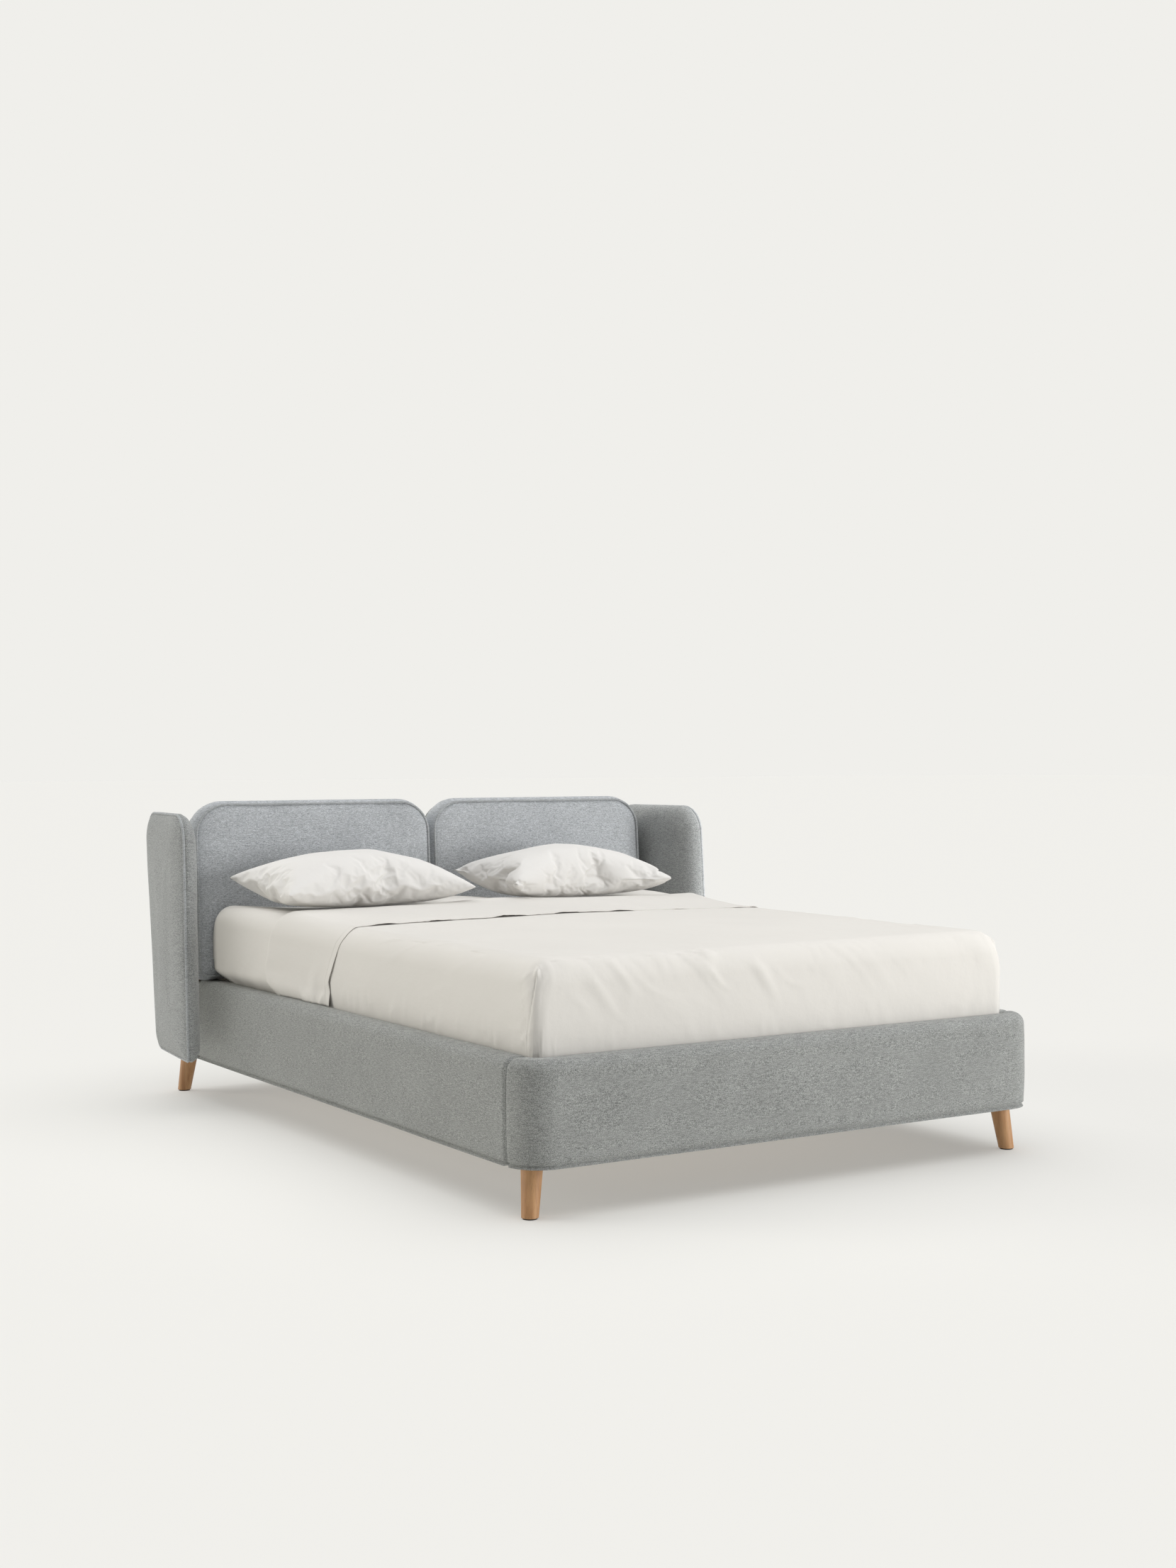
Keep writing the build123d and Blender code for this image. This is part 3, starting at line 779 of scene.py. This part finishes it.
def sheet_relief(points, out, seed):
    """How far the tucked sheet stands off its smooth surface."""
    x, y, z = points.T
    top_share = ease(out[:, 2], 0.5, 0.95)
    foot_share = ease(-out[:, 1], 0.25, 0.8)
    side_share = ease(np.abs(out[:, 0]), 0.25, 0.8)
    mattress_top = mattress_high.z
    relief = noise(points, 0.34, seed) * 0.0020 + noise(points, 0.13, seed + 1) * 0.0007
    # slanting pulls over the foot edge, strongest left of the middle
    strong = 0.30 + 0.70 * (1 - ease(np.abs(x + 0.36), 0.22, 0.62))
    height = np.where(foot_share > 0.5, z, mattress_top + (y - mattress_low.y))
    along, across = 0.62 * x - 0.78 * height, 0.78 * x + 0.62 * height
    pull = creases(along, across, y * 0, 0.26, 0.060, seed + 10, 0.05)
    fine = creases(along, across, y * 0, 0.16, 0.030, seed + 20, 0.15)
    near_edge = np.exp(-np.maximum(y - mattress_low.y, 0) / 0.13) * top_share
    high = ease(z, 0.44, 0.60) * foot_share
    relief += (pull * 0.0068 + fine * 0.0036) * strong * (high + 0.55 * near_edge)
    # long pulls along the sides that rise towards the foot corners
    width_left = mattress_high.x - np.abs(x)
    height = np.where(side_share > 0.5, z, mattress_top + width_left)
    along, across = -0.94 * y + 0.34 * height, 0.34 * y + 0.94 * height
    streak = creases(along, across, x * 0, 0.34, 0.034, seed + 30, 0.05)
    toward_foot = 1 - ease(y, mattress_low.y + 0.55, mattress_low.y + 1.15)
    near_edge = np.exp(-np.maximum(width_left, 0) / 0.12) * top_share
    near_edge += side_share * ease(z, 0.47, 0.60)
    relief += streak * 0.0032 * near_edge * (0.25 + 0.75 * toward_foot)
    # gathers where the cloth goes down behind the rail
    low = (1 - ease(z, rail_top + 0.015, rail_top + 0.10)) * ease(z, rail_top - 0.05, rail_top)
    level = x * foot_share + y * side_share
    gather = creases(z + 0.35 * (x + y), level, x * 0, 0.11, 0.024, seed + 40, -0.1)
    relief += gather * (0.0018 * foot_share + 0.0038 * side_share) * low
    # upright slack beside the foot corners
    corner = np.hypot(mattress_high.x - np.abs(x), y - mattress_low.y)
    slack = creases(z, corner, x * 0, 0.22, 0.035, seed + 50, -0.05)
    relief += slack * 0.0034 * np.exp(-(corner / 0.13) ** 2) * np.maximum(foot_share, side_share)
    return relief


def corner_fold(points, past_corner):
    """At the foot corners one layer is folded over the other, below a small pointed ear."""
    z = points[:, 2]
    down = np.clip((mattress_high.z - z) / (mattress_high.z - rail_top), 0, 1)
    line = 0.004 + 0.030 * ease(down, 0.15, 1.0) + noise(points * (0, 0, 1), 0.05, 97) * 0.004
    beside = past_corner - line
    below = ease(down, 0.10, 0.17)
    groove = np.exp(-(beside / 0.0014) ** 2) * 0.0026
    lip = ease(-beside, 0.001, 0.004) * (1 - ease(-beside, 0.005, 0.045)) * 0.0030
    ear = np.exp(-(beside / 0.012) ** 2 - ((down - 0.13) / 0.05) ** 2) * 0.0075
    puckers = creases(past_corner - 0.9 * z, z + 0.9 * past_corner, z * 0, 0.10, 0.018, 98, -0.2)
    near = np.exp(-((beside - 0.02) / 0.045) ** 2) * ease(down, 0.08, 0.2)
    return (lip - groove) * below + ear + puckers * near * 0.0030


def shell(piece):
    """Gives a sheet its thickness, outwards."""
    solid = piece.modifiers.new("thickness", "SOLIDIFY")
    solid.thickness = 0.0008
    solid.offset = 1.0


def make_mattress():
    """The mattress: a rounded body closed at its bottom."""
    bottom = mattress_low.z + 0.004
    points, _, faces, _ = bed_skin(mattress_low.y, mattress_high.y, bottom, 0.0, True,
                                   nx=40, ny=50, nz=16)
    loop = [i for i in range(len(points)) if abs(points[i, 2] - bottom) < 1e-4]
    faces.append(tuple(loop))
    piece = make_object("mattress_core", points, faces, sheet_cotton)
    settle(piece, "mattress_body", "mattress_ticking", "mattress", fill=0.95)


def make_fitted_sheet():
    """A stretched sheet over the whole mattress, slack at its lower sides."""
    lowest = mattress_low.z + 0.012
    points, out, faces, _ = bed_skin(mattress_low.y, mattress_high.y, lowest, 0.0015, True)
    x, y, z = points.T
    slack = noise(points, 0.25, 90) * 0.0012
    side_share = ease(np.abs(out[:, 0]), 0.3, 0.8)
    near_head = ease(y, mattress_high.y - 0.55, mattress_high.y - 0.1)
    slant = np.column_stack([x * 0, y + 0.9 * z, z])
    pull = ridges(slant, (1.0, 0.07, 0.35), 91) - 0.2
    slack += pull * side_share * (1 - ease(z, 0.42, 0.56)) * (0.0015 + 0.0045 * near_head)
    points = points + out * np.maximum(slack, -0.0008)[:, None]
    piece = make_object("fitted_sheet_cloth", points, faces, sheet_cotton)
    shell(piece)
    settle(piece, "mattress_body", "sheet_cotton", "fitted_sheet")


def hem_wave(points):
    """How the turned-down part's two edges wander along the bed."""
    x, z = points[:, 0], points[:, 2]
    line = np.column_stack([x, x * 0, z])
    side = ease(np.abs(x), 0.70, 0.80)
    small = noise(line, 0.06, 79) * (0.003 + 0.006 * side)
    return noise(line, 0.32, 71) * 0.018 + noise(line, 0.10, 72) * 0.006 + small


def edge_bow(points):
    """On the sides of the bed the turned-down part hangs in a shallow curve."""
    z = points[:, 2]
    at_fold = np.interp(z, (0.37, 0.39, 0.49, 0.57, 0.65), (-0.032, -0.026, 0.022, 0.008, -0.034))
    hem_heights = (0.37, 0.40, 0.48, 0.55, 0.626, 0.65)
    at_hem = np.interp(z, hem_heights, (0.005, 0.012, 0.032, 0.008, -0.028, -0.03))
    share = np.clip((points[:, 1] - HEM_Y) / (FOLD_Y - HEM_Y), 0, 1)
    bow = at_hem + (at_fold - at_hem) * share
    side = ease(np.abs(points[:, 0]), 0.55, 0.80)
    return bow * side + (1 - side) * (0.03 * share - 0.015)


SHEET_GAP = 0.0042
FOLD_ROLL = 0.0075
CUFF_GAP = 0.0030
HEM_ROLL = 0.0012
SHEET_COLUMNS = 132
SHEET_SKIRT_ROWS = 30


def cuff_rows():
    """(y, distance from the mattress, share of the way to the hem) of each row of the cuff."""
    rows = []
    for t in np.linspace(0, math.pi, 9):
        rows.append((FOLD_Y + FOLD_ROLL * math.sin(t), SHEET_GAP + FOLD_ROLL * (1 - math.cos(t)), 0.0))
    depth = FOLD_Y - HEM_Y
    for share in np.concatenate([np.linspace(0, 0.88, 36)[1:], np.linspace(0.88, 1, 18)[1:]]):
        sewn = math.exp(-((1 - share) * depth - 0.026) ** 2 / 0.0022 ** 2) * 0.0016
        above = 2 * FOLD_ROLL * (1 - share) ** 2 + CUFF_GAP * (1 - (1 - share) ** 2)
        rows.append((FOLD_Y - depth * share, SHEET_GAP + above - sewn, share))
    for t in np.linspace(0.5, math.pi, 5):
        turned = SHEET_GAP + CUFF_GAP - HEM_ROLL * (1 - math.cos(t))
        rows.append((HEM_Y - HEM_ROLL * math.sin(t), turned, 1.0))
    for share in np.linspace(0, 1, 4)[1:]:
        rows.append((HEM_Y + 0.022 * share, SHEET_GAP + CUFF_GAP - 2 * HEM_ROLL, 1.0))
    return rows


def cuff_row(around, y, rise, share):
    """One row of the turned-down part, from the left rail over the bed to the right rail."""
    hang_from = mattress_high.z - 0.12
    lowest = TUCK_Z + (rail_top + 0.001 - TUCK_Z) * ease(share, 0.0, 0.10)
    shortened = hang_from - (hang_from - around[:, 1]) * (hang_from - lowest) / (hang_from - TUCK_Z)
    heights = np.where(around[:, 1] < hang_from, shortened, around[:, 1])
    p, o = bed_surface(around[:, 0], np.full(len(around), y), heights, 0.0)
    waves = noise(p, (0.30, 0.22, 0.30), 73) * 0.0022 + noise(p, (0.07, 0.2, 0.12), 74) * 0.0012
    waves = waves * ease(share, 0.02, 0.3)
    side_share = ease(np.abs(o[:, 0]), 0.3, 0.8)
    folds = creases(p[:, 2], p[:, 1] + 0.15 * p[:, 2], p[:, 0] * 0, 0.30, 0.055, 76, -0.1)
    hang = folds * side_share * 0.0100 * (1 - 0.7 * ease(p[:, 2], 0.42, 0.60))
    resting = side_share * (1 - ease(p[:, 2], rail_top + 0.005, rail_top + 0.05)) * 0.007
    line = np.column_stack([p[:, 0], p[:, 0] * 0, p[:, 2]])
    loose = np.maximum(noise(line, 0.11, 75) + 0.6 * noise(line, 0.04, 77), 0)
    lift = loose * 0.0030 * ease(share, 0.88, 1.0)
    dimple = creases(p[:, 1] - p[:, 0] * 0.5, p[:, 0], p[:, 2] * 0, 0.07, 0.022, 78, 0.0)
    offset = rise + np.maximum(waves, -0.001)
    offset = offset + (np.maximum(hang, 0) + resting) * ease(share, 0.0, 0.1)
    offset += lift + dimple * 0.0016 * ease(share, 0.80, 0.97)
    return p + o * offset[:, None]


def make_top_sheet():
    """A tucked sheet whose head end is folded back over itself, to a sewn hem."""
    points, out, faces, past_corner = bed_skin(mattress_low.y, FOLD_Y, TUCK_Z, SHEET_GAP, False,
                                               nx=SHEET_COLUMNS, ny=150, nz=SHEET_SKIRT_ROWS)
    calm = ease(-points[:, 1], -(HEM_Y + 0.02), -(HEM_Y - 0.10))
    relief = sheet_relief(points, out, 80) * calm + corner_fold(points, past_corner)
    points = points + out * relief[:, None]
    xs = spaced(mattress_low.x, mattress_high.x, SHEET_COLUMNS, FINE_BAND, 20)
    zs = skirt_levels(TUCK_Z, SHEET_SKIRT_ROWS)
    around = [(xs[0], z) for z in zs[::-1]] + [(x, SHEET_TOP) for x in xs] + [(xs[-1], z) for z in zs]
    around = np.array(around)
    rows = cuff_rows()
    cuff = np.concatenate([cuff_row(around, *row) for row in rows])
    start = len(points)
    cuff_faces = loft_faces(len(rows), len(around), closed=False)
    faces += [tuple(start + k for k in f) for f in cuff_faces]
    points = np.concatenate([points, cuff])
    wander = ease(points[:, 1], HEM_Y - 0.35, HEM_Y)
    points[:, 1] += (hem_wave(points) + edge_bow(points)) * wander
    piece = make_object("top_sheet_cloth", points, faces, sheet_cotton, weld=0.0003)
    shell(piece)
    settle(piece, "mattress_body", "sheet_cotton", "top_sheet")


# ---- pillows ----
PILLOW_LONG = 0.755
PILLOW_WIDE = 0.505
PILLOW_HIGH = 0.215
PILLOW_TILT = math.radians(4)
PILLOW_LIFT = 0.087
PILLOW_SINK = 0.045


def pillow_envelope(seed):
    """A flat case of two layers joined at their edges, as points and faces."""
    nx, ny = ((112, 74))
    us = np.linspace(-1, 1, nx)
    vs = np.linspace(-1, 1, ny)
    grid_u, grid_v = np.meshgrid(us, vs, indexing="ij")
    puff = np.clip((1 - grid_u ** 2) * (1 - grid_v ** 2), 0, 1) ** 0.5
    points = []
    for layer in (1, -1):
        x = grid_u * PILLOW_LONG / 2
        y = grid_v * PILLOW_WIDE / 2
        points.append(np.column_stack([x.ravel(), y.ravel(), (layer * puff * 0.03).ravel()]))
    points = np.concatenate(points)
    points[:, 2] += noise(points, 0.06, seed) * 0.002
    faces = []
    for layer in range(2):
        base = layer * nx * ny
        for i in range(nx - 1):
            for j in range(ny - 1):
                a = base + i * ny + j
                faces.append((a, a + ny, a + ny + 1, a + 1))
    edge = (np.abs(grid_u) > 1 - 1e-9) | (np.abs(grid_v) > 1 - 1e-9)
    rim = np.flatnonzero(edge.ravel())
    points[rim, 2] = 0
    points[rim + nx * ny, 2] = 0
    return points, faces


def inflate(piece, frames=32):
    """Blows the case up with cloth simulation and keeps the result as the mesh."""
    cloth = piece.modifiers.new("cloth", "CLOTH")
    settings = cloth.settings
    settings.quality = 7
    settings.mass = 0.25
    settings.tension_stiffness = 60
    settings.compression_stiffness = 60
    settings.shear_stiffness = 30
    settings.bending_stiffness = 0.25
    settings.air_damping = 3
    settings.use_pressure = True
    settings.uniform_pressure_force = 11
    settings.effector_weights.gravity = 0
    cloth.collision_settings.use_self_collision = False
    cloth.collision_settings.use_collision = False
    cloth.point_cache.frame_start = 1
    cloth.point_cache.frame_end = frames
    for step in range(1, frames + 1):
        scene.frame_set(step)
    graph = bpy.context.evaluated_depsgraph_get()
    mesh = bpy.data.meshes.new_from_object(piece.evaluated_get(graph))
    piece.modifiers.clear()
    old = piece.data
    piece.data = mesh
    bpy.data.meshes.remove(old)
    scene.frame_set(1)


def mesh_points(mesh):
    """A mesh's vertices as rows of x, y, z."""
    flat = np.zeros(len(mesh.vertices) * 3, np.float32)
    mesh.vertices.foreach_get("co", flat)
    return flat.reshape(-1, 3).astype(float)


def lay_pillow(points, x, turn):
    """Turns a pillow, sets it on the bed flattened below, and presses it to the headboard."""
    turned = Matrix.Rotation(turn, 3, "Z") @ Matrix.Rotation(PILLOW_TILT, 3, "X")
    points = points @ np.array(turned).T
    rest_z = mattress_high.z + 0.007 + 0.15 * HEAD_RISE
    centre_y = (pillow_low.y + pillow_high.y) / 2 - 0.060
    points += np.array((x, centre_y, rest_z + PILLOW_LIFT))
    z = points[:, 2]
    lowered = rest_z + PILLOW_SINK * np.exp(np.minimum((z - rest_z - PILLOW_SINK) / PILLOW_SINK, 0))
    points[:, 2] = np.where(z < rest_z + PILLOW_SINK, lowered, z)
    face_y = CUSHION_FRONT - (CUSHION_TOP - points[:, 2]) * math.tan(LEAN) - 0.022
    over = np.maximum(points[:, 1] - (face_y - 0.05), 0)
    points[:, 1] = np.where(over > 0, face_y - 0.05 * np.exp(-over / 0.05), points[:, 1])
    return points


def make_pillow(label, x, turn, seed):
    """One pillow in its case, blown up from a flat case."""
    points, faces = pillow_envelope(seed)
    piece = make_object(f"pillow_with_case_{label}", points, faces, pillow_cotton, weld=0.0002)
    inflate(piece)
    points = mesh_points(piece.data)
    points[:, 2] *= PILLOW_HIGH / (points[:, 2].max() - points[:, 2].min())
    points = lay_pillow(points, x, turn)
    piece.data.vertices.foreach_set("co", points.astype(np.float32).ravel())
    piece.data.update()
    piece.data.polygons.foreach_set("use_smooth", [True] * len(piece.data.polygons))
    finer = piece.modifiers.new("finer", "SUBSURF")
    finer.levels = 1
    finer.render_levels = 1
    settle(piece, f"pillow_{label}_body", "pillow_cotton",
           f"pillow_{label}", f"pillowcase_{label}", fill=0.6)


# ---- stage, light and camera ----
BACKDROP = (0.871, 0.863, 0.831, 1)
FLOOR_REACH = 120.0


def make_floor():
    """A plain pale floor that glows a little, so that shadows on it stay soft."""
    material, _, shader = new_material("floor", 1.0, specular=0.0)
    shader.inputs["Base Color"].default_value = (0.522, 0.517, 0.498, 1)
    shader.inputs["Emission Color"].default_value = (1.0, 0.991, 0.954, 1)
    shader.inputs["Emission Strength"].default_value = FLOOR_GLOW
    reach = FLOOR_REACH
    corners = [(-reach, -reach, 0), (reach, -reach, 0), (reach, reach, 0), (-reach, reach, 0)]
    make_object("floor", corners, [(0, 1, 2, 3)], material)


def make_backdrop():
    """A pale backdrop that is seen but gives no light of its own."""
    world = bpy.data.worlds.new("backdrop")
    scene.world = world
    world.use_nodes = True
    tree = world.node_tree
    tree.nodes.clear()
    seen = node(tree, "ShaderNodeBackground", Color=BACKDROP)
    dark = node(tree, "ShaderNodeBackground", Strength=0.0)
    path = tree.nodes.new("ShaderNodeLightPath")
    choose = tree.nodes.new("ShaderNodeMixShader")
    out = tree.nodes.new("ShaderNodeOutputWorld")
    tree.links.new(path.outputs["Is Camera Ray"], choose.inputs["Fac"])
    tree.links.new(dark.outputs["Background"], choose.inputs[1])
    tree.links.new(seen.outputs["Background"], choose.inputs[2])
    tree.links.new(choose.outputs["Shader"], out.inputs["Surface"])


def add_light(data, towards):
    """A light that comes from the direction towards."""
    light = bpy.data.objects.new(data.name, data)
    scene.collection.objects.link(light)
    light.rotation_euler = Vector(towards).to_track_quat("Z", "Y").to_euler()
    return light


def sun(name, towards, strength, softness, colour=(1, 1, 1)):
    """A wide, soft light without a place."""
    data = bpy.data.lights.new(name, "SUN")
    data.energy = strength
    data.angle = math.radians(softness)
    data.color = colour
    return add_light(data, towards)


def softbox(name, spot, aim, size, power):
    """A square studio panel at spot, turned to the point aim."""
    data = bpy.data.lights.new(name, "AREA")
    data.energy = power
    data.size = size
    light = add_light(data, Vector(spot) - Vector(aim))
    light.location = spot
    return light


def link_light(light, kind, state, pieces):
    """Makes a light's receivers or blockers the given pieces or, with EXCLUDE, all but them."""
    group = bpy.data.collections.new(f"{light.name}_{kind}")
    for piece in pieces:
        group.objects.link(piece)
    setattr(light.light_linking, f"{kind}_collection", group)
    for entry in group.collection_objects:
        entry.light_linking.link_state = state


def make_lights():
    """Light from above and in front, a panel at the right and a fill from the left.

    The panel leaves no bright pool on the floor. One fill reaches only the right wing. The wings
    cast no shadow of the light from the left, so that it fills the rails beside them.
    """
    sun("top", (0.05, 0.10, 1.0), TOP_SUN, 95)
    sun("top_front", (0.10, -0.75, 1.0), FRONT_SUN, 60)
    panel = softbox("right_box", (4.5, -5.9, 1.6), (0.3, -0.6, 0.5), 2.8, PANEL_WATTS)
    link_light(panel, "receiver", "EXCLUDE", [scene.objects["floor"]])
    fill = sun("wing_fill", (0.35, -1.0, 0.15), WING_SUN, 40)
    right_wing = [scene.objects[name] for name in ("wing_pad_right", "wing_welt_right")]
    link_light(fill, "receiver", "INCLUDE", right_wing)
    left = sun("left_side", (-1.0, 0.80, 0.25), LEFT_SUN, 30, (1.0, 0.975, 0.90))
    wings = [piece for piece in scene.objects if piece.name.startswith("wing_")]
    link_light(left, "blocker", "EXCLUDE", wings)


CAMERA_SPOT = (-3.3043968, foot_y - 4.1450112, 1.152)
CAMERA_YAW = math.radians(32.221)
CAMERA_PITCH = math.radians(0.638)
CAMERA_ROLL = math.radians(-0.1265)
CAMERA_LENS = 44.60127


def make_camera():
    """The camera; its yaw turns from the bed's length to the bed's right."""
    yaw, pitch, roll = CAMERA_YAW, CAMERA_PITCH, CAMERA_ROLL
    data = bpy.data.cameras.new("camera")
    data.sensor_width = 36.0
    data.lens = CAMERA_LENS
    camera = bpy.data.objects.new("camera", data)
    scene.collection.objects.link(camera)
    level_look = math.cos(pitch)
    look = Vector((math.sin(yaw) * level_look, math.cos(yaw) * level_look, -math.sin(pitch)))
    level = Vector((math.cos(yaw), -math.sin(yaw), 0))
    upright = level.cross(look)
    right = level * math.cos(roll) + upright * math.sin(roll)
    up = upright * math.cos(roll) - level * math.sin(roll)
    x, y, z = CAMERA_SPOT
    camera.matrix_world = Matrix((
        (right.x, up.x, -look.x, x),
        (right.y, up.y, -look.y, y),
        (right.z, up.z, -look.z, z),
        (0, 0, 0, 1),
    ))
    scene.camera = camera


make_camera()
make_floor()
make_backdrop()
dress_cad_nodes()
make_rails()
make_headboard()
make_wings()
make_mattress()
make_fitted_sheet()
make_top_sheet()
make_pillow("left", -0.462, math.radians(2.0), 301)
make_pillow("right", 0.378, math.radians(1.0), 402)
make_lights()
